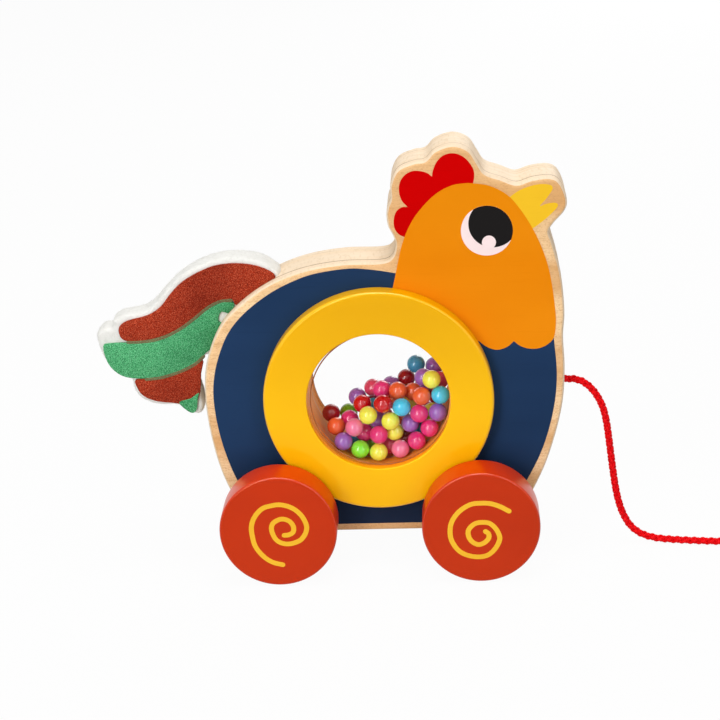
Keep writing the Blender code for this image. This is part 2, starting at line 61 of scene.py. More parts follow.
camera_az, camera_el, camera_roll = (math.radians(v) for v in (2.93, 19.98, -2.36))
backwards = Vector((math.sin(camera_az) * math.cos(camera_el),
                    -math.cos(camera_az) * math.cos(camera_el), math.sin(camera_el)))
level_right = Vector((math.cos(camera_az), math.sin(camera_az), 0.0))
level_up = level_right.cross(-backwards)
right = level_right * math.cos(camera_roll) + level_up * math.sin(camera_roll)
up = level_up * math.cos(camera_roll) - level_right * math.sin(camera_roll)
lens = bpy.data.cameras.new("photo_camera")
lens.sensor_width = 36.0
lens.lens = 100.59
lens.clip_start, lens.clip_end = 0.01, 50.0
camera = placed("photo_camera", lens)
camera_at = ((34.25 + AHEAD) * MM, -808.06 * MM, 382.21 * MM)
camera.matrix_world = Matrix(list(zip(right, up, backwards, camera_at)) + [(0.0, 0.0, 0.0, 1.0)])
bpy.context.scene.camera = camera
bpy.context.scene.view_settings.view_transform = "Standard"


# Pull cord: a red braid of six flat strands round a core, 3.5 mm thick. It comes
# straight out of a hole in the breast, drops to the floor, and its unseen length
# is put away in a coil that ends in the wooden ball.
def linear(colour):
    """A colour read off the photograph, 0 to 255, as Blender's linear colour."""
    out = []
    for v in colour:
        v /= 255.0
        out.append(v / 12.92 if v <= 0.04045 else ((v + 0.055) / 1.055) ** 2.4)
    return (*out, 1.0)


def through(points, steps):
    """Points on a smooth curve through the given ones."""
    pts = [Vector(p) for p in points]
    out = []
    for i in range(len(pts) - 1):
        b, c = pts[i], pts[i + 1]
        a = pts[i - 1] if i > 0 else b + (b - c)
        d = pts[i + 2] if i + 2 < len(pts) else c + (c - b)
        for s in range(steps):
            t = s / steps
            out.append(0.5 * ((2 * b) + (c - a) * t + (2 * a - 5 * b + 4 * c - d) * t * t
                              + (3 * b - 3 * c + d - a) * t ** 3))
    out.append(pts[-1])
    return out


def add_piece(mesh, body, record_slot, *materials):
    """Link a mesh, under its own name, as a piece on its CAD body."""
    piece = placed(mesh.name, mesh)
    for finish in materials:
        mesh.materials.append(finish)
    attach(piece, body)
    return piece


def repaint(node, finish):
    """Give a CAD node that keeps its own mesh another finish."""
    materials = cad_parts[node].data.materials
    materials.clear()
    materials.append(finish)


def set_sockets(node, settings):
    for socket, value in settings.items():
        node.inputs[socket.replace("_", " ")].default_value = value
    return node


def new_finish(name, colour, rough, **settings):
    """A Principled material, its colour 0 to 255; settings are values of more sockets."""
    made = bpy.data.materials.new(name)
    made.use_nodes = True
    shader = made.node_tree.nodes["Principled BSDF"]
    set_sockets(shader, {"Base Color": linear(colour), "Roughness": rough, **settings})
    return made


def add_node(finish, kind, **settings):
    """A node in a material or the world; settings are its sockets' constant values."""
    return set_sockets(finish.node_tree.nodes.new("ShaderNode" + kind), settings)


def streaks(finish, scale, detail=4.0, rough=0.55, offset=(0.0, 0.0, 0.0)):
    """Noise, in repeats per metre: one scale, or one for each axis."""
    links = finish.node_tree.links
    per_axis = scale if isinstance(scale, tuple) else (scale, scale, scale)
    where = add_node(finish, "TexCoord")
    stretch = add_node(finish, "Mapping", Scale=per_axis, Location=offset)
    grain = add_node(finish, "TexNoise", Scale=1.0, Detail=detail, Roughness=rough)
    links.new(where.outputs["Object"], stretch.inputs["Vector"])
    links.new(stretch.outputs["Vector"], grain.inputs["Vector"])
    return grain.outputs["Fac"]


def between(finish, fac, low, high):
    """Stretch a value so that low becomes 0 and high becomes 1."""
    node = add_node(finish, "MapRange", From_Min=low, From_Max=high)
    finish.node_tree.links.new(fac, node.inputs["Value"])
    return node.outputs["Result"]


def tint(finish, fac, colour):
    """Mix towards another colour where fac is high, over the finish's colour so far."""
    tree = finish.node_tree
    shader = tree.nodes["Principled BSDF"]
    mix = add_node(finish, "Mix")
    mix.data_type = "RGBA"
    before = shader.inputs["Base Color"]
    if before.is_linked:
        tree.links.new(before.links[0].from_socket, mix.inputs["A"])
    else:
        mix.inputs["A"].default_value = before.default_value
    mix.inputs["B"].default_value = linear(colour)
    tree.links.new(fac, mix.inputs["Factor"])
    tree.links.new(mix.outputs["Result"], before)


def stain(finish, colour, low, high, scale, *grain):
    """Streaks of another colour, from none where the noise is low to full where it is high."""
    tint(finish, between(finish, streaks(finish, scale, *grain), low, high), colour)


def emboss(finish, depth, strength, scale, *grain):
    """Raise the surface by a noise; a second call adds to the first."""
    fac = streaks(finish, scale, *grain)
    tree = finish.node_tree
    bump = add_node(finish, "Bump", Strength=strength, Distance=depth)
    tree.links.new(fac, bump.inputs["Height"])
    normal = tree.nodes["Principled BSDF"].inputs["Normal"]
    if normal.is_linked:
        tree.links.new(normal.links[0].from_socket, bump.inputs["Normal"])
    tree.links.new(bump.outputs["Normal"], normal)


CORD_R = 1.75 * MM
CORD_LIFT = 0.1 * MM              # lowest cord above the floor
KNOT_FACE = Vector(((67.5 + AHEAD) * MM, 0.0, 77.3 * MM))
COIL_CENTRE = Vector(((180.0 + AHEAD) * MM, 16.0 * MM, CORD_R + CORD_LIFT))
COIL_R, COIL_PITCH = 22.0 * MM, 4.15 * MM
TURN_STEPS, TURNS, TURNS_OUTWARDS, TURNS_CLIMBING = 24, 4, 2.0, 0.5
LEAD, LEAD_STEPS = 20.0 * MM, 5   # from the coil up to the ball
CORD_IN_BALL = 8.7 * MM
BALL_R = 12.0 * MM
# X, Y and Z in millimetres from the axles' middle: out, down, and along the floor.
cord_route = [
    (80.0, 0.0, 77.3), (83.8, 0.0, 77.2), (87.6, 0.0, 76.0), (91.2, 0.0, 73.0), (94.2, 0.0, 68.8),
    (96.5, 0.0, 63.6), (97.9, 0.0, 57.6), (98.9, 0.0, 50.6), (99.9, 0.0, 42.3),
    (100.9, 0.0, 34.2), (102.0, 0.0, 26.4), (103.4, 0.0, 19.6), (105.4, 0.0, 13.6),
    (108.6, -0.2, 8.0), (113.2, -0.5, 4.2), (119.4, -1.2, 2.3), (127.0, -2.4, 1.85),
    (136.0, -3.9, 1.85), (146.0, -5.2, 1.85), (156.0, -5.9, 1.85),
]
coil_start = COIL_CENTRE - Vector((2 * CORD_R, COIL_R, 0.0))
cord_line = [KNOT_FACE, KNOT_FACE + Vector((2 * CORD_R, 0.0, 0.0))]
cord_line += [Vector(((x + AHEAD) * MM, y * MM, z * MM)) for x, y, z in cord_route]
cord_line += [coil_start - Vector((4 * CORD_R, 0.0, 0.0)), coil_start]
for step in range(TURNS * TURN_STEPS + 1):
    turn = step / TURN_STEPS
    past = turn - TURNS_OUTWARDS
    climb = min(max(past / TURNS_CLIMBING, 0.0), 1.0)
    radius = COIL_R - TURNS_OUTWARDS * COIL_PITCH
    if past <= 0.0:
        radius -= COIL_PITCH * past
    elif climb < 1.0:
        radius -= COIL_PITCH * past * (1.0 - climb)
    else:
        radius += COIL_PITCH * (past - TURNS_CLIMBING)
    angle = 2 * math.pi * turn - math.pi / 2
    height = COIL_PITCH * (1 - math.cos(math.pi * climb)) / 2
    arm = Vector((radius * math.cos(angle), radius * math.sin(angle), height))
    cord_line.append(COIL_CENTRE + arm)
last_turn = cord_line[-1].copy()
for step in range(1, LEAD_STEPS + 1):
    lift = (BALL_R - last_turn.z) * (1 - math.cos(math.pi * step / LEAD_STEPS)) / 2
    cord_line.append(last_turn + Vector((LEAD * step / LEAD_STEPS, 0.0, lift)))
ball_mouth = cord_line[-1] + Vector((2 * CORD_R, 0.0, 0.0))
cord_line.append(ball_mouth + Vector((CORD_IN_BALL, 0.0, 0.0)))
cord_line = through(cord_line, 4)

CORD_STEP = 0.5 * MM
BRAID_PITCH = 11.0 * MM
STRAND_WIDE, STRAND_THICK = 0.76 * MM, 0.54 * MM
line = np.array([tuple(p) for p in cord_line])
run = np.concatenate([[0.0], np.cumsum(np.linalg.norm(np.diff(line, axis=0), axis=1))])
cord_length = float(run[-1])
marks = np.linspace(0.0, cord_length, int(cord_length / CORD_STEP))
centre_line = np.stack([np.interp(marks, run, line[:, k]) for k in range(3)], axis=1)
heading = np.gradient(centre_line, axis=0)
heading /= np.linalg.norm(heading, axis=1)[:, None]
side = np.zeros_like(heading)
side[0] = (0.0, 1.0, 0.0)
for i in range(1, len(side)):
    across = side[i - 1] - heading[i] * np.dot(side[i - 1], heading[i])
    side[i] = across / np.linalg.norm(across)
other = np.cross(heading, side)
braid_verts, braid_faces = [], []


def lay_tube(centres, out, wide, half_out, half_wide, sides):
    """Add a closed tube with an oval section along the given centres to the braid."""
    first = len(braid_verts)
    count = len(centres)
    for k in range(sides):
        angle = 2 * math.pi * k / sides
        ring = centres + out * half_out * math.cos(angle) + wide * half_wide * math.sin(angle)
        braid_verts.extend(map(tuple, ring))
    for k in range(sides):
        j = (k + 1) % sides
        for i in range(count - 1):
            a, b = first + k * count + i, first + j * count + i
            braid_faces.append((a, b, b + 1, a + 1))
    braid_faces.append([first + k * count for k in range(sides)])
    braid_faces.append([first + k * count + count - 1 for k in reversed(range(sides))])


WEAVE = 0.30 * MM                 # how far the strands rise and dip as they cross
mid_r = CORD_R - STRAND_THICK - WEAVE
for hand in (1, -1):
    for strand in range(3):
        angle = hand * 2 * math.pi * marks / BRAID_PITCH + strand * 2 * math.pi / 3
        out = side * np.cos(angle)[:, None] + other * np.sin(angle)[:, None]
        distance = mid_r + hand * WEAVE * np.cos(6 * math.pi * marks / BRAID_PITCH)
        centres = centre_line + out * distance[:, None]
        along = np.gradient(centres, axis=0)
        along /= np.linalg.norm(along, axis=1)[:, None]
        lay_tube(centres, out, np.cross(along, out), STRAND_THICK, STRAND_WIDE, 8)
lay_tube(centre_line, side, other, mid_r * 0.95, mid_r * 0.95, 10)
braid = bpy.data.meshes.new("pull_cord_braid")
braid.from_pydata(braid_verts, [], braid_faces)
braid.shade_smooth()
cord_red = new_finish("cord_red", (234, 0, 10), 0.6, Specular_IOR_Level=0.1)
stain(cord_red, (188, 0, 6), 0.45, 0.8, (3200, 3200, 1400))
stain(cord_red, (250, 26, 34), 0.52, 0.7, 900, 2.0)
emboss(cord_red, 0.12 * MM, 0.8, (5200, 5200, 2200))
cord = add_piece(braid, "chassis", "red_cord", cord_red)
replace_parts(cord, "pull_cord", "cord_coil")
repaint("cord_knot", cord_red)


# Ball at the cord's end: a turned wooden ball, painted red like the wheels, with a
# hole that the cord is glued into.
def as_mesh(name, bm, sharp):
    """A finished mesh; edges that turn more than sharp degrees stay hard."""
    bmesh.ops.recalc_face_normals(bm, faces=bm.faces)
    mesh = bpy.data.meshes.new(name)
    bm.to_mesh(mesh)
    bm.free()
    mesh.set_sharp_from_angle(angle=math.radians(sharp))
    return mesh


def turned(name, profile, sides, slots=None, at=(0.0, 0.0, 0.0)):
    """Turn a profile of (radius, along) about Y; off the axis it closes to a ring."""
    bm = bmesh.new()
    rings = []
    for radius, along in profile:
        angles = [2 * math.pi * i / sides for i in range(1 if radius <= 0.0 else sides)]
        rings.append([bm.verts.new((radius * math.cos(a), along, radius * math.sin(a)))
                      for a in angles])
    closed = profile[0][0] > 0.0
    pairs = list(zip(rings, rings[1:])) + ([(rings[-1], rings[0])] if closed else [])
    for row, (first, second) in enumerate(pairs):
        for i in range(sides):
            j = (i + 1) % sides
            corners = list(dict.fromkeys([first[i % len(first)], first[j % len(first)],
                                          second[j % len(second)], second[i % len(second)]]))
            if len(corners) > 2:
                face = bm.faces.new(corners)
                face.material_index = slots[row] if slots else 0
                face.smooth = True
    mesh = as_mesh(name, bm, 40)
    mesh.transform(Matrix.Translation(at))
    return mesh


def painted(name, colour, rough, shade, shine):
    """Glossy toy paint over wood: faint grain shows through and the film is never quite even."""
    made = new_finish(name, colour, rough, Specular_IOR_Level=0.6, Specular_Tint=shine)
    stain(made, shade, 0.45, 0.85, (14, 40, 22), 2.0)
    stain(made, shade, 0.62, 0.95, (60, 300, 900), 5.0, 0.6)
    emboss(made, 0.05 * MM, 0.35, (70, 350, 1100), 4.0)
    emboss(made, 0.04 * MM, 0.3, 420, 2.0)
    return made


wheel_paint = painted("wheel_paint", (194, 42, 0), 0.13, (180, 34, 0), (1.0, 0.42, 0.22, 1.0))
BALL_HOLE_R, BALL_HOLE_DEPTH = 2.1 * MM, 9.0 * MM
BALL_ROUND_R = BALL_R - 0.1 * MM
mouth_angle = math.asin(BALL_HOLE_R / BALL_R)
mouth_depth = BALL_R * math.cos(mouth_angle)
ball_profile = [(0.0, BALL_R)]
for step in range(1, 33):
    angle = step * (math.pi - mouth_angle) / 32
    ball_profile.append((BALL_ROUND_R * math.sin(angle), BALL_ROUND_R * math.cos(angle)))
bottom = BALL_HOLE_DEPTH - mouth_depth
ball_profile += [(BALL_HOLE_R, bottom), (0.0, bottom)]
ball_mesh = turned("pull_ball_turned", ball_profile, 64)
ball_mesh.transform(Matrix.Rotation(-math.pi / 2, 4, "Z"))
ball_mesh.transform(Matrix.Translation(ball_mouth + Vector((mouth_depth, 0.0, 0.0))))
ball = add_piece(ball_mesh, "chassis", "red_paint", wheel_paint)
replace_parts(ball, "pull_ball")


# Body: three glued boards of one outline, a thick core between two thin outer
# boards whose outer edges are rounded over. One round bore goes through them all.
CORE_HALF, BODY_HALF, SEAM = 7.45 * MM, 12.75 * MM, 0.3 * MM
WINDOW = Vector(((0.9 + AHEAD) * MM, 0.0, 76.1 * MM))
BORE_R = 30.3 * MM
AXLE_Z = 24.9465 * MM
AXLES = {"front": (42.85 + AHEAD) * MM, "rear": (-42.85 + AHEAD) * MM}
AXLE_BORE_R = 4.3 * MM
SIDES = (("right", -1), ("left", 1))      # each side, and which way it faces along Y
body_outline = [
    (-38.0, 13.7), (-49.5, 15.7), (-58.0, 22.3), (-64.6, 33.0), (-69.2, 46.5), (-72.2, 63.0),
    (-73.1, 79.0), (-71.2, 94.0), (-64.6, 109.0), (-54.5, 119.3), (-42.0, 127.5), (-28.0, 132.7),
    (-12.0, 135.1), (3.5, 135.2), (8.4, 137.2), (10.1, 142.0), (9.5, 145.8), (7.4, 150.4),
    (6.8, 155.0), (7.4, 159.0), (8.7, 162.2), (8.9, 168.4), (12.0, 174.4), (18.5, 177.2),
    (23.2, 178.0), (27.4, 182.0), (34.6, 184.1), (41.0, 181.8), (44.6, 176.4), (47.6, 171.9),
    (54.0, 169.4), (60.2, 167.1), (66.5, 168.9), (73.6, 169.5), (77.8, 167.3), (80.6, 160.6),
    (79.9, 155.5), (75.0, 149.8), (73.3, 146.3), (74.9, 141.2), (78.1, 128.0), (79.5, 112.0),
    (78.9, 100.5), (79.5, 87.0), (78.6, 71.5), (75.0, 55.0), (69.3, 38.5), (61.0, 23.5),
    (50.5, 15.5), (38.0, 13.7),
]


def on_face(points):
    """X and Z in millimetres from the axles' middle, as metres in the frame."""
    return [Vector(((x + AHEAD) * MM, z * MM)) for x, z in points]


def drawn_in(loop, distance):
    """An outline moved inwards along its own normals."""
    count = len(loop)
    area = sum(loop[i].x * loop[(i + 1) % count].y - loop[(i + 1) % count].x * loop[i].y
               for i in range(count))
    turn = 1.0 if area > 0 else -1.0
    out = []
    for i in range(count):
        tangent = (loop[(i + 1) % count] - loop[i - 1]).normalized()
        out.append(loop[i] + turn * distance * Vector((-tangent.y, tangent.x)))
    return out


def circle(centre_x, centre_z, radius, sides=96):
    return [Vector((centre_x + radius * math.cos(2 * math.pi * i / sides),
                    centre_z + radius * math.sin(2 * math.pi * i / sides))) for i in range(sides)]


def slab(name, sections, holes=(), edge_slot=0, hole_slot=0):
    """A closed sheet of stacked outlines, [(y, outline), ...], with holes right through it."""
    bm = bmesh.new()

    def wall(rows, slot):
        for low, high in zip(rows, rows[1:]):
            for i in range(len(low)):
                j = (i + 1) % len(low)
                face = bm.faces.new((low[i], low[j], high[j], high[i]))
                face.material_index = slot
                face.smooth = True

    rows = [[bm.verts.new((p.x, y, p.y)) for p in outline] for y, outline in sections]
    if len(rows) > 3:             # a rounded edge ends in the face's finish
        wall(rows[:-2], edge_slot)
        wall(rows[-3:], 0)
    else:
        wall(rows, edge_slot)
    ends = [[rows[0]], [rows[-1]]]
    for hole in holes:
        pair = [[bm.verts.new((p.x, y, p.y)) for p in hole] for y, _ in (sections[0], sections[-1])]
        wall(pair, hole_slot)
        ends[0].append(pair[0])
        ends[1].append(pair[1])
    for loops in ends:
        edges = []
        for loop in loops:
            for i in range(len(loop)):
                edge = bm.edges.get((loop[i], loop[(i + 1) % len(loop)]))
                edges.append(edge or bm.edges.new((loop[i], loop[(i + 1) % len(loop)])))
        bmesh.ops.triangle_fill(bm, use_beauty=True, edges=edges)
    return as_mesh(name, bm, 38)


# Planed birch: the outer boards' faces have long grain with short rays, and all the
# edges show the layers as lines that run round the outline.
def by_height(finish, low, high):
    """0 at the height low and 1 at the height high, in metres above the floor."""
    where, height = add_node(finish, "TexCoord"), add_node(finish, "SeparateXYZ")
    finish.node_tree.links.new(where.outputs["Object"], height.inputs["Vector"])
    return between(finish, height.outputs["Z"], low, high)


face_wood = new_finish("face_wood", (248, 212, 164), 0.5, Specular_IOR_Level=0.15)
# Darker towards the head: painted shade, for the dimmer light up there.
tint(face_wood, by_height(face_wood, 0.120, 0.168), (232, 190, 138))
stain(face_wood, (222, 170, 112), 0.40, 0.66, (12, 200, 70), 3.0)
stain(face_wood, (206, 152, 96), 0.50, 0.84, (90, 400, 1150), 6.0, 0.65)
stain(face_wood, (204, 150, 98), 0.52, 0.76, (1300, 900, 2600), 3.0)
emboss(face_wood, 0.06 * MM, 0.4, (60, 400, 1300), 5.0)

edge_wood = new_finish("edge_wood", (235, 215, 189), 0.6, Specular_IOR_Level=0.12)
stain(edge_wood, (234, 208, 174), 0.42, 0.74, (7, 260, 7), 3.0)
stain(edge_wood, (216, 188, 152), 0.54, 0.86, (14, 900, 14), 4.0, 0.5)
stain(edge_wood, (222, 198, 164), 0.52, 0.72, (900, 260, 900), 3.0)
emboss(edge_wood, 0.08 * MM, 0.5, (25, 1500, 25), 5.0)

# The bore's wood is coloured warmer than the edges and turns orange towards the bottom: painted
# reflection of the yellow rings.
bore_wood = new_finish("bore_wood", (255, 196, 124), 0.6, Specular_IOR_Level=0.12)
tint(bore_wood, by_height(bore_wood, 0.084, 0.054), (255, 160, 34))
stain(bore_wood, (240, 156, 74), 0.44, 0.76, (12, 420, 12), 4.0)
stain(bore_wood, (180, 104, 50), 0.58, 0.80, (30, 1500, 30), 5.0)
emboss(bore_wood, 0.08 * MM, 0.5, (25, 1500, 25), 5.0)

outline = through(on_face(body_outline), 6)
window_hole = circle(WINDOW.x, WINDOW.z, BORE_R, 128)
axle_holes = [circle(x, AXLE_Z, AXLE_BORE_R, 32) for x in AXLES.values()]
board_holes = [window_hole] + axle_holes
BOARD_ARRIS, ARRIS_STEPS = 1.7 * MM, 5
for hand, sign in SIDES:
    sections = [(sign * (CORE_HALF + SEAM), outline)]
    for step in range(ARRIS_STEPS + 1):
        angle = 0.5 * math.pi * step / ARRIS_STEPS
        sections.append((sign * (BODY_HALF - BOARD_ARRIS + BOARD_ARRIS * math.sin(angle)),
                         drawn_in(outline, BOARD_ARRIS * (1 - math.cos(angle)))))
    board = add_piece(slab(f"{hand}_panel_planed", sections, board_holes, 1, 2),
                      "chassis", "wood", face_wood, edge_wood, bore_wood)
    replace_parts(board, f"{hand}_panel")
core = slab("core_board_planed", [(-CORE_HALF, outline), (CORE_HALF, outline)], board_holes, 1, 2)
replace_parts(add_piece(core, "chassis", "wood", face_wood, edge_wood, bore_wood), "core_board")

# Glue lines: thin brown lines of dried glue that stand a hair proud along the seams
# between the boards, round the outline and in the bore. The left seam is the tighter.
GLUE_WIDE, GLUE_STANDS = 0.65 * MM, 0.03 * MM
glue = new_finish("dried_glue", (166, 136, 104), 0.6, Specular_IOR_Level=0.2)
stain(glue, (226, 200, 168), 0.44, 0.66, 55, 3.0)
pale_glue = new_finish("pale_glue", (214, 190, 160), 0.6, Specular_IOR_Level=0.2)
stain(pale_glue, (232, 211, 183), 0.38, 0.58, 55, 3.0)
for hand, sign in SIDES:
    middle = sign * (CORE_HALF + SEAM / 2)
    low, high = middle - GLUE_WIDE / 2, middle + GLUE_WIDE / 2
    proud = drawn_in(outline, -GLUE_STANDS)
    film = slab(f"{hand}_glue_line", [(low, proud), (high, proud)],
                [circle(WINDOW.x, WINDOW.z, BORE_R - GLUE_STANDS, 128)] + axle_holes)
    add_piece(film, "chassis", "wood", glue if hand == "right" else pale_glue)


# Painted bird: thin coats of paint on both outer faces, one over the other. A blue
# body, a red comb and a yellow beak go first, then the orange head and its eye.
COAT = 0.05 * MM
blue_points = [
    (10.6, 130.4), (3.4, 131.8), (-3.0, 132.7), (-9.3, 133.1), (-17.6, 132.3), (-25.6, 130.8),
    (-32.5, 128.4), (-40.3, 124.7), (-46.9, 120.5), (-52.2, 116.4), (-57.0, 111.8),
    (-61.0, 106.7), (-64.2, 100.6), (-67.4, 91.6), (-69.1, 83.0), (-69.4, 74.5), (-68.4, 64.0),
    (-66.2, 53.0), (-62.6, 41.4), (-57.6, 30.8), (-52.0, 23.2), (-46.0, 18.4), (-40.0, 17.2),
    (40.0, 17.2), (49.0, 19.2), (57.0, 26.6), (63.4, 36.8), (69.0, 48.4), (72.9, 60.4),
    (75.3, 72.4), (76.1, 82.0), (76.0, 89.0), (75.3, 97.0), (74.6, 104.0), (60.0, 112.0),
    (30.0, 126.0),
]
head_points = [
    (40.5, 168.3), (34.0, 167.5), (27.2, 164.0), (20.6, 157.5), (16.2, 151.0), (12.9, 143.2),
    (10.9, 135.4), (9.4, 128.6), (8.0, 122.8),
]
head_under_ring = [(12.0, 118.6), (22.0, 114.8), (31.0, 108.6), (38.0, 101.8)]
head_right = [
    (43.7, 99.9), (47.0, 97.2), (51.2, 95.8), (55.4, 97.0), (58.3, 99.5), (61.0, 97.3),
    (64.8, 96.0), (69.2, 96.2), (73.0, 98.2), (75.2, 101.4), (75.9, 108.3), (75.4, 115.2),
    (74.4, 123.6), (72.7, 132.4), (69.9, 141.0), (66.2, 149.0), (61.6, 156.6), (56.3, 162.9),
    (48.8, 167.0),
]
comb_points = [
    [(41.6, 166.0), (42.9, 169.4), (42.9, 173.6), (40.6, 177.6), (37.6, 180.0), (34.3, 180.9),
     (30.6, 180.0), (27.8, 177.2), (26.3, 173.6), (25.9, 171.4)],
    [(25.9, 171.4), (23.4, 173.2), (18.9, 174.0), (15.2, 172.6), (12.8, 169.4), (12.3, 165.4),
     (13.3, 161.6), (15.6, 158.9)],
    [(15.6, 158.9), (13.0, 158.7), (10.8, 156.8), (9.7, 153.2), (10.1, 149.6), (11.8, 147.2),
     (14.1, 146.0), (24.0, 150.0), (36.0, 162.0)],
]
beak_points = [
    (56.0, 160.8), (60.8, 164.3), (65.0, 166.0), (68.8, 166.9), (72.2, 166.9), (74.3, 166.3),
    (74.9, 165.1), (74.1, 163.4), (72.0, 160.5), (69.9, 158.2), (69.9, 157.7), (72.2, 158.6),
    (75.2, 159.0), (76.8, 158.5), (76.7, 157.1), (74.4, 154.5), (70.9, 151.4), (66.6, 148.2),
    (60.0, 152.0),
]


def rounded(points, steps=4):
    """A closed smooth outline through given points."""
    pts = [Vector(p) for p in points]
    ring = through([pts[-1]] + pts + [pts[0], pts[1]], steps)
    return on_face(ring[steps:-steps - 1])


def flat_coat(name, outline, sign, layer, finish,
              face=BODY_HALF, body="chassis", slot="wood", holes=()):
    """One coat of paint on a face that looks along Y; layer counts up from the wood."""
    low = face + 0.01 * MM + layer * COAT
    high = low + COAT * 0.9
    coat = slab(name, [(sign * low, outline), (sign * high, outline)], holes)
    return add_piece(coat, body, slot, finish)


def print_paint(name, colour, rough, shade):
    """Screen-printed paint on the boards: satin, with the wood's grain faint in it."""
    light = linear(colour)[:3]
    shine = (*(0.1 + 0.9 * v / max(light) for v in light), 1.0)
    made = new_finish(name, colour, rough, Specular_IOR_Level=0.14, Specular_Tint=shine)
    stain(made, shade, 0.4, 0.9, (9, 200, 30), 2.0)
    stain(made, shade, 0.58, 0.95, (55, 400, 1050), 5.0, 0.6)
    emboss(made, 0.05 * MM, 0.35, (60, 400, 1300), 4.0)
    return made


blue_paint = print_paint("blue_paint", (32, 56, 90), 0.42, (24, 44, 73))
# Darker towards the bottom, beside the wheels: painted shade.
tint(blue_paint, by_height(blue_paint, 0.055, 0.022), (29, 38, 58))
orange_paint = print_paint("orange_paint", (238, 140, 14), 0.40, (227, 126, 3))
# Darker towards the top of the head: painted shade.
tint(orange_paint, by_height(orange_paint, 0.132, 0.168), (230, 136, 10))
comb_paint = print_paint("comb_paint", (202, 0, 1), 0.40, (190, 0, 1))
beak_paint = print_paint("beak_paint", (242, 192, 42), 0.40, (234, 180, 32))
eye_white_paint = print_paint("eye_white_paint", (249, 228, 227), 0.42, (243, 221, 221))
eye_black_paint = print_paint("eye_black_paint", (10, 9, 9), 0.38, (6, 5, 6))

blue_curves = through(blue_points[:23], 4) + through(blue_points[23:33], 4)
blue_outline = on_face(blue_curves + blue_points[33:])
head_scallops = through(head_right[:5], 4)[:-1] + through(head_right[4:] + [head_points[0]], 4)[:-1]
head_outline = on_face(through(head_points, 4) + head_under_ring + head_scallops)
comb_curve = through(comb_points[0], 4)[:-1] + through(comb_points[1], 4)[:-1]
comb_outline = on_face(comb_curve + through(comb_points[2][:7], 4) + comb_points[2][7:])
beak_outline = on_face(through(beak_points[:-1], 4) + beak_points[-1:])
under_ring = circle(WINDOW.x, WINDOW.z, 45.0 * MM)

# The black of the eye is what a second circle, higher and further forward, shares
# with the eye's own.
EYE_R, BLACK_R, GLINT_R = 10.65 * MM, 10.1 * MM, 2.9 * MM
eye_at, black_at, glint_at = on_face([(47.84, 147.87), (50.4, 150.8), (48.6, 142.9)])
eye_round, black_round = circle(*eye_at, EYE_R, 180), circle(*black_at, BLACK_R, 180)
shared = [p for p in eye_round if (p - black_at).length < BLACK_R]
shared += [p for p in black_round if (p - eye_at).length < EYE_R]
middle_of_black = (eye_at + black_at) / 2
pupil = sorted(shared, key=lambda p: math.atan2(p.y - middle_of_black.y, p.x - middle_of_black.x))
for hand, sign in SIDES:
    flat_coat(f"{hand}_blue_body", blue_outline, sign, 0, blue_paint, holes=[under_ring])
    flat_coat(f"{hand}_comb", comb_outline, sign, 0, comb_paint)
    flat_coat(f"{hand}_beak", beak_outline, sign, 0, beak_paint)
    flat_coat(f"{hand}_head", head_outline, sign, 1, orange_paint)
    flat_coat(f"{hand}_eye_white", eye_round, sign, 2, eye_white_paint)
    flat_coat(f"{hand}_eye_black", pupil, sign, 3, eye_black_paint)
    flat_coat(f"{hand}_eye_glint", circle(*glint_at, GLINT_R, 48), sign, 4, eye_white_paint)


# Rings: turned wooden rings glued on both faces round the bore, painted a warm
# glossy yellow as far as the windows in the bore. The outer edge is rounded over.
RING_R, RING_THICK, RING_ARRIS = 48.7 * MM, 7.2 * MM, 1.5 * MM
RING_FACE = BODY_HALF + SEAM + RING_THICK
ring_paint = painted("ring_paint", (253, 193, 6), 0.15, (247, 183, 2), (1.0, 0.75, 0.2, 1.0))
# Darker towards the top of the ring: painted shade.
tint(ring_paint, by_height(ring_paint, 0.072, 0.118), (233, 170, 0))
ring_arris = painted("ring_arris", (246, 186, 10), 0.12, (240, 178, 4), (1.0, 0.9, 0.6, 1.0))
# The bore's paint is a deeper orange than the face's: painted shade, with painted reflection of the
# yellow.
ring_bore_shaded_paint = painted("ring_bore_shaded_paint", (255, 166, 0), 0.3,
                          (246, 148, 0), (1.0, 0.7, 0.15, 1.0))
MOUTH_ARRIS, PAINTED_DEEP = 0.6 * MM, 3.0 * MM


def round_edge(radius, face, edge, inward, outer=True, steps=6):
    """Points of a rounded edge, from the flat face to the rim, or to the bore."""
    turn = 1.0 if outer else -1.0
    out = []
    for s in range(steps + 1):
        angle = 0.5 * math.pi * s / steps
        out.append((edge - turn * radius * (1 - math.sin(angle)),
                    face + inward * radius * (1 - math.cos(angle))))
    return out


for hand, sign in SIDES:
    face, back = sign * RING_FACE, sign * (BODY_HALF + SEAM)
    outer = round_edge(RING_ARRIS, face, RING_R, -sign)
    inner = round_edge(MOUTH_ARRIS, face, BORE_R, -sign, outer=False)
    bore = [(RING_R, back), (BORE_R, back), (BORE_R, face - sign * PAINTED_DEEP)]
    profile = outer + bore + inner[::-1]
    slots = [0, 0, 1, 1, 0, 0] + [0, 0, 3, 2] + [0] * len(inner)
    ring = add_piece(turned(f"{hand}_ring_turned", profile, 144, slots, WINDOW),
                     "chassis", "yellow_paint", ring_paint, ring_arris, ring_bore_shaded_paint, bore_wood)
    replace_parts(ring, f"{hand}_ring")


# Windows: clear plastic discs pressed into the rings' bores 3 mm behind their faces.
# A thin line of brown glue runs round them, set a little off the bore's centre.
PANE_R, PANE_THICK = 30.0 * MM, 1.8 * MM
PANE_FACE = RING_FACE - 3.0 * MM
SEAT_IN, SEAT_OUT = PANE_R + 0.03 * MM, BORE_R - 0.02 * MM
GLUE_PROUD, GLUE_SUNK = 0.05 * MM, 0.2 * MM
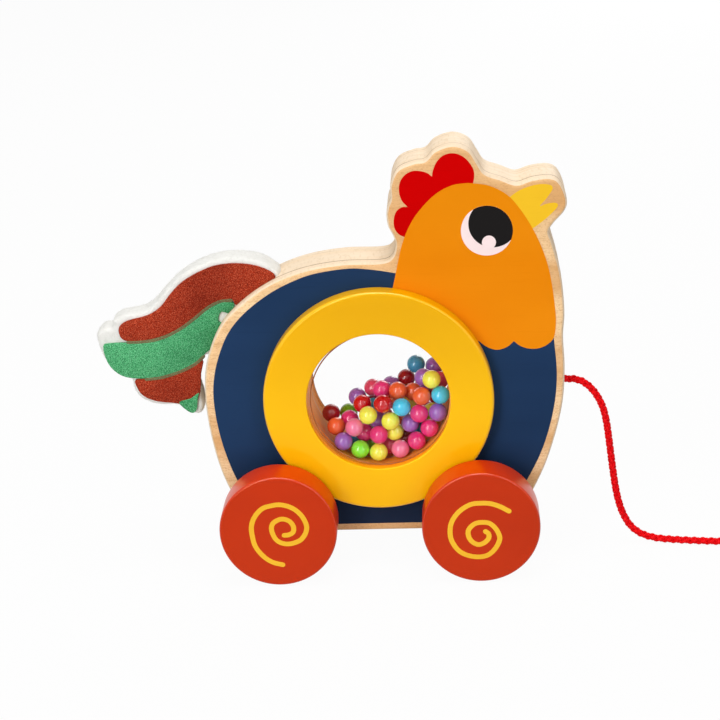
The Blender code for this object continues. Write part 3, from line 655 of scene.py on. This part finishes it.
# Each line of glue: its outer and inner radius, and how far ahead of the bore's centre it is.
glue_rings = {"right": (29.95 * MM, 29.45 * MM, 0.9 * MM),
              "left": (30.25 * MM, 29.85 * MM, 0.05 * MM)}
clear = bpy.data.materials.new("clear_pane")
clear.use_nodes = True
nodes, links = clear.node_tree.nodes, clear.node_tree.links
nodes.remove(nodes["Principled BSDF"])
passing = add_node(clear, "BsdfTransparent")
gloss = add_node(clear, "BsdfGlossy", Roughness=0.02)
edge_on = add_node(clear, "Fresnel", IOR=1.12)
film = add_node(clear, "MixShader")
links.new(edge_on.outputs["Fac"], film.inputs["Fac"])
links.new(passing.outputs["BSDF"], film.inputs[1])
links.new(gloss.outputs["BSDF"], film.inputs[2])
links.new(film.outputs["Shader"], nodes["Material Output"].inputs["Surface"])
pane_glue = new_finish("pane_glue", (160, 92, 44), 0.5, Specular_IOR_Level=0.1)
stain(pane_glue, (190, 122, 74), 0.4, 0.7, 200, 3.0)
for hand, sign in SIDES:
    face, back = sign * PANE_FACE, sign * (PANE_FACE - PANE_THICK)
    disc = [(0.0, face), (PANE_R, face), (PANE_R, back), (0.0, back)]
    pane = add_piece(turned(f"{hand}_pane_polished", disc, 128, [0, 1, 0], WINDOW),
                     "chassis", "clear_plastic", clear, bore_wood)
    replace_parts(pane, f"{hand}_pane")
    seat = [(SEAT_IN, face), (SEAT_OUT, face), (SEAT_OUT, back), (SEAT_IN, back)]
    add_piece(turned(f"{hand}_pane_seat", seat, 128, at=WINDOW),
              "chassis", "clear_plastic", bore_wood)
    outside, inside, ahead = glue_rings[hand]
    proud, sunk = face + sign * GLUE_PROUD, face - sign * GLUE_SUNK
    edge = [(outside, proud), (outside, sunk), (inside, sunk), (inside, proud)]
    glue_at = WINDOW + Vector((ahead, 0.0, ahead * 0.45))
    add_piece(turned(f"{hand}_pane_glue", edge, 128, at=glue_at),
              "chassis", "clear_plastic", pane_glue)


# Beads: loose glossy balls of moulded plastic in mixed colours. The near and middle
# ones stand where the window shows them, and the rest fill the heap behind.
BEAD_R, BEAD_SPACING, EASING_ROUNDS = 3.9 * MM, 8.0 * MM, 300
BEAD_REACH, BEAD_SIDE = 26.2 * MM, 11.3 * MM     # furthest from the window's axis, and along Y
bead_colours = {
    "purple": (164, 106, 196), "lime": (150, 255, 60), "yellow": (255, 255, 86),
    "pink": (255, 130, 170), "magenta": (240, 56, 132), "sky": (76, 216, 255),
    "orange": (248, 104, 50), "red": (212, 14, 24), "dark_red": (166, 12, 28),
    "green": (132, 204, 30), "teal": (62, 164, 210), "rose": (232, 78, 118),
}
cad_bead_colours = [
    "purple", "lime", "yellow", "pink", "magenta", "magenta", "purple", "sky", "yellow", "orange",
    "magenta", "purple", "sky", "yellow", "magenta", "yellow", "pink", "red", "red", "yellow",
    "purple", "orange", "dark_red", "magenta", "orange", "purple", "orange", "magenta", "rose",
    "magenta",
]
# Colour, X and Z from the window's centre, and Y, in millimetres, read through the window.
seen_behind = [
    ("green", -14.2, 7.5, -14.9), ("purple", -10.0, 5.0, -6.7), ("rose", -3.1, 5.0, -2.7),
    ("purple", 4.8, 6.9, -2.3), ("dark_red", 11.3, 11.0, -0.9), ("teal", 15.7, 8.7, 6.4),
    ("purple", 23.6, 11.2, 4.2), ("purple", 17.7, 8.8, -4.9), ("rose", 25.8, 4.9, 0.3),
    ("yellow", 13.2, 3.4, -8.9), ("teal", -11.5, 0.4, -23.6), ("green", -3.9, -0.8, -25.9),
    ("dark_red", 10.5, -1.2, -24.0), ("sky", -3.0, 2.5, -10.7), ("dark_red", -2.2, 10.5, -10.6),
    ("orange", 5.9, 0.4, -6.8), ("teal", 16.6, -2.1, -18.9),
]


def bead_finish(name, colour):
    """Moulded plastic with a slight swirl of pigment and a clear gloss."""
    made = new_finish(name, colour, 0.05, Specular_IOR_Level=0.65,
                      Subsurface_Weight=0.2, Subsurface_Radius=(0.002, 0.0012, 0.0012))
    stain(made, [v * 0.97 for v in colour], 0.45, 0.8, 160, 3.0)
    emboss(made, 0.01 * MM, 0.3, 900, 2.0)
    return made


def eased(fixed, loose):
    """Push the loose beads clear of the fixed ones and each other, inside the chamber."""
    spots = np.array(fixed + loose)
    centre = np.array([WINDOW.x, WINDOW.z])
    held = len(fixed)
    for _ in range(EASING_ROUNDS):
        for i in range(held, len(spots)):
            apart = spots[i] - np.delete(spots, i, axis=0)
            distance = np.linalg.norm(apart, axis=1)
            near = distance < BEAD_SPACING
            if near.any():
                overlap = (BEAD_SPACING - distance[near])[:, None]
                push = apart[near] / distance[near][:, None] * overlap
                spots[i] += push.sum(axis=0) * 0.5
            spots[i, 1] = np.clip(spots[i, 1], -BEAD_SIDE, BEAD_SIDE)
            out = spots[i, [0, 2]] - centre
            reach = np.linalg.norm(out)
            if reach > BEAD_REACH:
                spots[i, [0, 2]] = centre + out * BEAD_REACH / reach
    return spots


bead_mesh = {}
for colour_name, colour in bead_colours.items():
    bm = bmesh.new()
    bmesh.ops.create_icosphere(bm, subdivisions=4, radius=BEAD_R)
    for vert in bm.verts:
        vert.co *= 1.0 + 0.004 * noise.noise(vert.co * 400.0)
    made = bpy.data.meshes.new("bead_" + colour_name)
    bm.to_mesh(made)
    bm.free()
    made.shade_smooth()
    made.materials.append(bead_finish("bead_" + colour_name, colour))
    bead_mesh[colour_name] = made


def put_bead(number, colour_name, place):
    bead = placed(f"bead_{number:02d}_round", bead_mesh[colour_name])
    bead.location = place
    bead.rotation_euler = [v * 900.0 for v in place]        # no two lie the same way
    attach(bead, "bead_pile")
    return bead


cad_spots = []
for number, colour_name in enumerate(cad_bead_colours, start=1):
    low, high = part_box(f"bead_{number:02d}")
    spot = (low + high) / 2
    cad_spots.append(tuple(spot))
    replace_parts(put_bead(number, colour_name, spot), f"bead_{number:02d}")
behind = [(WINDOW.x + x * MM, y * MM, WINDOW.z + z * MM) for _, x, y, z in seen_behind]
heap = eased(cad_spots, behind)
for number in range(len(cad_spots), len(heap)):
    put_bead(number + 1, seen_behind[number - len(cad_spots)][0], tuple(heap[number]))

# Under the beads that show, the chamber is filled row by row from the bottom up, but
# never above the heap's top as the window shows it.
heap_top = [(-26.0, -12.0), (-20.5, -8.5), (-13.0, -8.5), (-8.7, -1.5), (-1.8, 2.5), (6.0, 4.0),
            (13.0, 6.5), (17.3, 12.5), (25.0, 12.0), (30.0, 10.0)]
top_x, top_z = (np.array(v) for v in zip(*heap_top))
VIEW_DOWN, VIEW_ACROSS = 0.38, 0.06      # how the view drops and shifts with each mm of depth
NEAR_ROW, MIDDLE_ROW, FAR_ROW = -11.35, 3.9, 11.3
CLOSEST, HIDDEN_BY, UNDER_TOP = 7.85, 6.0, 1.5
shown = (heap - np.array(WINDOW)) / MM
for z in np.arange(-26.0, 12.0, 1.0):
    for y in (FAR_ROW, MIDDLE_ROW):
        for x in np.arange(-26.0, 26.1, 1.0):
            depth = y - NEAR_ROW
            top = np.interp(x + VIEW_ACROSS * depth, top_x, top_z) - UNDER_TOP
            if math.hypot(x, z) > BEAD_REACH / MM or z + VIEW_DOWN * depth > top:
                continue
            spot = np.array([WINDOW.x + x * MM, y * MM, WINDOW.z + z * MM])
            if np.linalg.norm(heap - spot, axis=1).min() < CLOSEST * MM:
                continue
            farther = shown[shown[:, 1] > y + 1.0]
            across = farther[:, 0] - x + VIEW_ACROSS * (farther[:, 1] - y)
            above = farther[:, 2] - z + VIEW_DOWN * (farther[:, 1] - y)
            if len(farther) and np.hypot(across, above).min() < HIDDEN_BY:
                continue
            heap = np.vstack([heap, spot])
            mixed = list(bead_colours)[len(heap) * 5 % len(bead_colours)]
            put_bead(len(heap), mixed, tuple(spot))


# Tail: a thick white felt whose edge is soft and full, let into the core board, with
# thin coloured felts glued on both of its faces.
TAIL_HALF, TAIL_SOFT = 6.2 * MM, 1.7 * MM
FELT_FINENESS = 0.7 * MM
tail_points = [
    (-39.6, 130.8), (-46.6, 135.6), (-56.5, 137.5), (-66.2, 136.7), (-74.8, 133.5),
    (-82.3, 128.9), (-88.2, 123.2), (-92.9, 118.0), (-98.1, 114.5), (-107.0, 112.9),
    (-111.0, 110.6), (-111.4, 107.8), (-115.6, 107.2), (-118.5, 104.2), (-118.0, 98.8),
    (-115.2, 91.8), (-109.6, 86.0), (-105.2, 83.6), (-104.5, 79.6), (-101.8, 74.9), (-94.6, 71.7),
    (-86.0, 71.3), (-81.4, 68.3), (-76.9, 67.0), (-74.9, 69.4), (-75.3, 76.0), (-76.6, 82.0),
    (-76.6, 88.0), (-75.0, 92.9),
]
tail_root = [(-63.0, 96.0), (-56.0, 107.0), (-47.0, 115.8), (-40.0, 122.0), (-38.4, 127.0)]
felt_white = new_finish("felt_white", (234, 233, 228), 0.95,
                        Specular_IOR_Level=0.05, Sheen_Weight=0.15, Sheen_Roughness=0.6)
stain(felt_white, (212, 211, 203), 0.5, 0.85, 420, 6.0, 0.7)
stain(felt_white, (226, 224, 215), 0.58, 0.8, (1500, 700, 1500), 4.0)
emboss(felt_white, 0.5 * MM, 0.7, 1300, 6.0, 0.7)
tail_outline = through(on_face(tail_points), 5) + on_face(tail_root)
sections = []
for step in range(9):
    angle = -0.5 * math.pi + math.pi * step / 8
    full = math.cos(angle) ** 0.5
    sections.append((TAIL_HALF * math.sin(angle), drawn_in(tail_outline, TAIL_SOFT * (1 - full))))
tail = add_piece(slab("tail_felt_soft", sections), "chassis", "white_felt", felt_white)
close = tail.modifiers.new("felt_surface", "REMESH")
close.mode = "VOXEL"
close.voxel_size = FELT_FINENESS
dense = bpy.data.meshes.new_from_object(tail.evaluated_get(bpy.context.evaluated_depsgraph_get()))
tail.modifiers.clear()
tail.data = dense
for vert in dense.vertices:
    rough = noise.noise(vert.co * 260.0) * 0.12 + noise.noise(vert.co * 900.0) * 0.12
    vert.co += vert.normal * rough * MM
dense.shade_smooth()
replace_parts(tail, "tail_felt")

# Loose fibres stand out of the felt all over, so that its outline is never sharp.
FIBRES, FIBRE_LONG, FIBRE_WIDE = 14000, 0.85 * MM, 0.05 * MM
chance = np.random.default_rng(7)
fibre_verts, fibre_faces = [], []
for i in chance.choice(len(dense.vertices), min(FIBRES, len(dense.vertices)), replace=False):
    root, outward = dense.vertices[i].co, dense.vertices[i].normal
    lean = (outward + Vector(chance.normal(0.0, 0.65, 3))).normalized()
    curl = (lean + Vector(chance.normal(0.0, 0.5, 3))).normalized()
    across = lean.cross(Vector(chance.normal(0.0, 1.0, 3))).normalized() * FIBRE_WIDE / 2
    half = FIBRE_LONG * (0.35 + 0.65 * float(chance.random())) / 2
    foot, bend = root - outward * 0.1 * MM, root + lean * half
    first = len(fibre_verts)
    fibre_verts += [foot - across, foot + across, bend + across, bend - across, bend + curl * half]
    fibre_faces += [(first, first + 1, first + 2, first + 3), (first + 3, first + 2, first + 4)]
fibres = bpy.data.meshes.new("tail_felt_fibres")
fibres.from_pydata(fibre_verts, [], fibre_faces)
add_piece(fibres, "chassis", "white_felt", felt_white)

red_top = [
    (-41.4, 129.8), (-48.0, 133.3), (-57.0, 134.8), (-66.0, 134.0), (-73.4, 131.2),
    (-80.4, 127.1), (-85.6, 122.0), (-90.2, 116.4), (-96.0, 112.8), (-104.6, 110.6),
    (-108.4, 107.8), (-108.2, 103.6), (-105.4, 101.5), (-98.4, 101.7), (-91.7, 103.0),
    (-85.0, 105.6), (-79.4, 109.1), (-73.6, 113.5), (-68.0, 117.4), (-62.5, 119.0),
    (-59.6, 119.2), (-57.2, 116.3), (-48.5, 121.6), (-41.8, 126.4),
]
green_band = [
    (-58.8, 117.3), (-62.5, 118.3), (-68.0, 116.8), (-73.6, 112.9), (-79.4, 108.5),
    (-85.0, 105.0), (-91.7, 102.4), (-98.4, 101.1), (-105.4, 100.9), (-112.6, 100.7),
    (-115.9, 99.4), (-114.4, 91.8), (-110.4, 86.9), (-105.1, 84.8), (-96.4, 84.6), (-89.7, 85.8),
    (-83.0, 87.9), (-76.7, 91.3), (-72.4, 95.2), (-67.4, 99.6), (-63.4, 107.8), (-65.9, 109.4),
    (-64.5, 113.6), (-60.4, 112.7),
]
red_low = [
    (-73.9, 92.4), (-82.8, 87.4), (-89.6, 85.4), (-96.4, 84.2), (-103.1, 84.0), (-102.7, 80.2),
    (-100.2, 76.4), (-94.4, 73.8), (-85.0, 72.5), (-82.1, 69.7), (-79.6, 69.4), (-77.9, 72.0),
    (-75.7, 77.8), (-74.8, 86.0),
]
green_tip = [
    (-85.1, 73.4), (-82.0, 69.5), (-79.3, 68.3), (-77.6, 70.2), (-77.0, 74.4), (-76.3, 77.6),
    (-80.0, 75.0),
]
green_seams = {
    "upper": [(-60.0, 118.6), (-64.5, 118.4), (-70.0, 115.7), (-75.2, 111.6), (-81.2, 107.2),
              (-87.0, 104.0), (-93.0, 101.9), (-99.0, 101.1), (-105.0, 101.0)],
    "lower": [(-98.5, 84.1), (-92.6, 84.6), (-86.6, 86.2), (-81.0, 88.4), (-76.4, 91.0),
              (-73.4, 93.8)],
}


def coloured_felt(name, colour, dark, light):
    made = new_finish(name, colour, 0.95,
                      Specular_IOR_Level=0.05, Sheen_Weight=0.05, Sheen_Roughness=0.5)
    stain(made, dark, 0.42, 0.66, 2300, 3.0, 0.7)
    stain(made, light, 0.48, 0.68, 2600, 2.0, 0.7, (7.0, 3.0, 1.0))
    stain(made, dark, 0.50, 0.9, 30, 2.0)
    emboss(made, 0.35 * MM, 0.8, 1600, 5.0, 0.7)
    return made


# The left side's lower felts end sooner, so they don't show past the white from the right.
LEFT_RED_ENDS = (-79.6 + AHEAD) * MM
LEFT_TIP_MOVED = Vector((-3.2 * MM, 0.8 * MM))
SEAM_WIDE = 1.6 * MM
felt_red = coloured_felt("felt_red", (164, 47, 22), (90, 14, 6), (222, 102, 70))
felt_green = coloured_felt("felt_green", (74, 170, 108), (18, 90, 48), (138, 228, 170))
seam_thread = coloured_felt("seam_thread", (128, 112, 78), (92, 62, 44), (120, 160, 112))


def brush_stroke(points, wide):
    """Outline of a stroke of even width with round ends."""
    mid = through(on_face(points), 5)
    left, right_side = [], []
    for i, p in enumerate(mid):
        ahead = (mid[min(i + 1, len(mid) - 1)] - mid[max(i - 1, 0)]).normalized()
        across = Vector((-ahead.y, ahead.x)) * wide / 2
        left.append(p + across)
        right_side.append(p - across)

    def cap(centre, start):
        out = []
        for s in range(1, 8):
            angle = -math.pi * s / 8
            arm = start - centre
            out.append(centre + Vector((arm.x * math.cos(angle) - arm.y * math.sin(angle),
                                        arm.x * math.sin(angle) + arm.y * math.cos(angle))))
        return out

    return left + cap(mid[-1], left[-1]) + right_side[::-1] + cap(mid[0], right_side[0])


def lay_felt(name, outline, sign, low, thick, finish, slot_name):
    """A felt with a softly rounded edge, laid on one face of the tail."""
    low, edge, top = (sign * (TAIL_HALF + v * MM) for v in (low, low + thick * 0.6, low + thick))
    felt = slab(name, [(low, outline), (edge, outline),
                       (edge * 0.3 + top * 0.7, drawn_in(outline, 0.12 * MM)),
                       (top, drawn_in(outline, 0.35 * MM))])
    return add_piece(felt, "chassis", slot_name, finish)


for hand, sign in SIDES:
    for label, points, finish, slot_name in (("upper_red", red_top, felt_red, "rust_felt"),
                                             ("green", green_band, felt_green, "green_felt"),
                                             ("lower_red", red_low, felt_red, "rust_felt")):
        cut = rounded(points, 3)
        if hand == "left" and label == "lower_red":
            cut = [Vector((min(p.x, LEFT_RED_ENDS), p.y)) for p in cut]
        felt = lay_felt(f"tail_{hand}_{label}_cut", cut, sign, 0.05, 1.0, finish, slot_name)
        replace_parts(felt, f"tail_{hand}_{label}")
    tip = rounded(green_tip, 3)
    if hand == "left":
        tip = [p + LEFT_TIP_MOVED for p in tip]
    lay_felt(f"tail_{hand}_tip_cut", tip, sign, 0.6, 0.8, felt_green, "green_felt")
    for label, points in green_seams.items():
        lay_felt(f"tail_{hand}_{label}_seam", brush_stroke(points, SEAM_WIDE), sign, 0.1, 1.05,
                 seam_thread, "green_felt")


# Axles and collars: plain dowels across the body, and turned spacers that keep the
# wheels clear of the rings.
dowel = new_finish("dowel_wood", (232, 200, 156), 0.55)
stain(dowel, (204, 162, 112), 0.5, 0.8, (500, 40, 500), 4.0)
emboss(dowel, 0.06 * MM, 0.5, (900, 60, 900), 4.0)
for end in ("front", "rear"):
    for node in (f"{end}_axle", f"{end}_right_collar", f"{end}_left_collar"):
        repaint(node, dowel)


# Wheels: thick turned wooden discs painted orange-red all over and polished on the round
# edges, with a yellow spiral printed on each outer face. The rims are coloured brighter
# than the faces: painted light, for the overhead lamp on them.
WHEEL_R, WHEEL_ARRIS = 24.93 * MM, 1.1 * MM
WHEEL_INNER, WHEEL_OUTER, WHEEL_BORE_DEPTH = 21.45 * MM, 36.95 * MM, 11.0 * MM
# The rims' brighter orange-red is painted light, not a different paint.
lit_rim_coat = painted("wheel_lit_rim_coat", (210, 56, 2), 0.3, (199, 47, 0), (1.0, 0.45, 0.2, 1.0))
edge_paint = painted("wheel_edge_paint", (204, 50, 12), 0.1,
                     (194, 42, 6), (1.0, 0.84, 0.74, 1.0))
SPIRAL_WIDE = 2.1 * MM
spiral_paint = print_paint("spiral_paint", (246, 192, 54), 0.4, (234, 174, 40))
rear_spiral = [
    (-41.6, 9.8), (-45.9, 11.1), (-49.6, 13.9), (-52.8, 18.6), (-53.9, 24.0), (-53.9, 28.2),
    (-52.4, 32.2), (-49.1, 35.9), (-45.3, 37.2), (-41.1, 37.6), (-36.3, 36.0), (-32.7, 32.6),
    (-30.7, 28.1), (-31.2, 24.4), (-33.6, 21.1), (-37.9, 19.5), (-41.7, 20.0), (-44.2, 22.1),
    (-45.5, 25.9), (-45.0, 28.8), (-42.6, 30.6), (-40.3, 31.0), (-37.7, 29.9), (-36.2, 27.4),
    (-36.5, 24.9), (-38.4, 23.7), (-40.3, 23.5),
]
front_spiral = [
    (54.6, 32.6), (50.6, 34.9), (46.9, 36.2), (43.1, 36.5), (38.6, 36.0), (34.1, 33.2),
    (31.0, 29.2), (29.8, 25.1), (30.1, 20.1), (32.6, 15.5), (35.9, 13.0), (40.4, 11.8),
    (45.0, 12.3), (48.4, 15.2), (50.3, 18.9), (50.4, 21.4), (48.9, 24.7), (46.3, 27.2),
    (43.0, 27.7), (40.0, 27.0), (37.6, 24.5), (37.4, 21.7), (38.7, 19.1), (41.3, 17.5),
    (43.9, 18.2), (45.8, 20.2), (45.9, 22.3), (44.6, 23.5),
]

for end, spiral in (("front", front_spiral), ("rear", rear_spiral)):
    for hand, sign in SIDES:
        face, back = sign * WHEEL_OUTER, sign * WHEEL_INNER
        outer = round_edge(WHEEL_ARRIS, face, WHEEL_R, -sign)
        inner = round_edge(WHEEL_ARRIS, back, WHEEL_R, sign)
        bottom = back + sign * WHEEL_BORE_DEPTH
        profile = [(0.0, face)] + outer + inner[::-1]
        profile += [(AXLE_BORE_R, back), (AXLE_BORE_R, bottom), (0.0, bottom)]
        slots = [0] + [0, 0, 2, 2, 1, 1] + [1] + [1, 1, 2, 2, 0, 0] + [0, 0, 0]
        disc = turned(f"{end}_{hand}_wheel_turned", profile, 120, slots, (AXLES[end], 0.0, AXLE_Z))
        wheel = add_piece(disc, f"{end}_wheels", "red_paint", wheel_paint, lit_rim_coat, edge_paint)
        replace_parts(wheel, f"{end}_{hand}_wheel")
        flat_coat(f"{end}_{hand}_spiral", brush_stroke(spiral, SPIRAL_WIDE), sign, 0, spiral_paint,
                  face=WHEEL_OUTER, body=f"{end}_wheels", slot="red_paint")


# Studio: a plain pale floor, a white surround, a soft light overhead, a tall strip
# light on each side of the camera and a weaker one behind.
FLOOR_Z = -0.2 * MM
FLOOR_GREY = 212.2323             # the floor's own colour, 0 to 255
FLOOR_WHITENED = 0.96             # how much of the floor shows as plain white
SURROUND_LIGHT = 0.18             # what the white surround adds to the lamps


def looked_at(finish):
    """1 for what is seen straight on, through a pane or in a reflection, else 0."""
    ray_kind = add_node(finish, "LightPath")
    fac = ray_kind.outputs["Is Camera Ray"]
    for kind in ("Is Transmission Ray", "Is Glossy Ray"):
        either = add_node(finish, "Math")
        either.operation = "MAXIMUM"
        finish.node_tree.links.new(fac, either.inputs[0])
        finish.node_tree.links.new(ray_kind.outputs[kind], either.inputs[1])
        fac = either.outputs[0]
    return fac


floor_mesh = bpy.data.meshes.new("studio_floor")
corners = [(x, y, FLOOR_Z) for x, y in ((-4, -4), (4, -4), (4, 6), (-4, 6))]
floor_mesh.from_pydata(corners, [], [(0, 1, 2, 3)])
floor = placed("studio_floor", floor_mesh)
floor_white = new_finish("floor_white", (FLOOR_GREY, FLOOR_GREY, FLOOR_GREY), 0.9)
nodes, links = floor_white.node_tree.nodes, floor_white.node_tree.links
shine = add_node(floor_white, "Emission")
weight = add_node(floor_white, "Math")
weight.operation = "MULTIPLY"
weight.inputs[1].default_value = FLOOR_WHITENED
whiten = add_node(floor_white, "MixShader")
links.new(looked_at(floor_white), weight.inputs[0])
links.new(weight.outputs[0], whiten.inputs["Fac"])
links.new(nodes["Principled BSDF"].outputs["BSDF"], whiten.inputs[1])
links.new(shine.outputs["Emission"], whiten.inputs[2])
links.new(whiten.outputs["Shader"], nodes["Material Output"].inputs["Surface"])
floor_mesh.materials.append(floor_white)

world = bpy.data.worlds.new("studio_white")
bpy.context.scene.world = world
world.use_nodes = True
links = world.node_tree.links
world.node_tree.nodes.clear()
choose = add_node(world, "MixShader")
links.new(looked_at(world), choose.inputs["Fac"])
for socket, strength in ((1, SURROUND_LIGHT), (2, 1.0)):
    white = add_node(world, "Background", Color=(1.0, 1.0, 1.0, 1.0), Strength=strength)
    links.new(white.outputs[0], choose.inputs[socket])
links.new(choose.outputs[0], add_node(world, "OutputWorld").inputs["Surface"])

for name, place, aim, wide, tall, power in (
        ("top_softbox", (0.05, -0.12, 1.35), (0.0, 0.0, 0.08), 0.8, 0.7, 10.5),
        ("left_strip", (-0.53, -1.03, 0.60), (0.02, 0.0, 0.08), 0.32, 1.3, 9.4),
        ("right_strip", (0.79, -0.90, 0.60), (0.02, 0.0, 0.08), 0.24, 1.3, 3.1),
        ("back_strip", (0.30, 1.25, 0.60), (0.02, 0.0, 0.08), 0.5, 1.1, 5.0)):
    lamp = bpy.data.lights.new(name, "AREA")
    lamp.shape = "RECTANGLE"
    lamp.size, lamp.size_y = wide, tall
    lamp.energy = power
    stand = placed(name, lamp)
    stand.location = place
    stand.rotation_mode = "QUATERNION"
    stand.rotation_quaternion = (Vector(aim) - Vector(place)).to_track_quat("-Z", "Y")
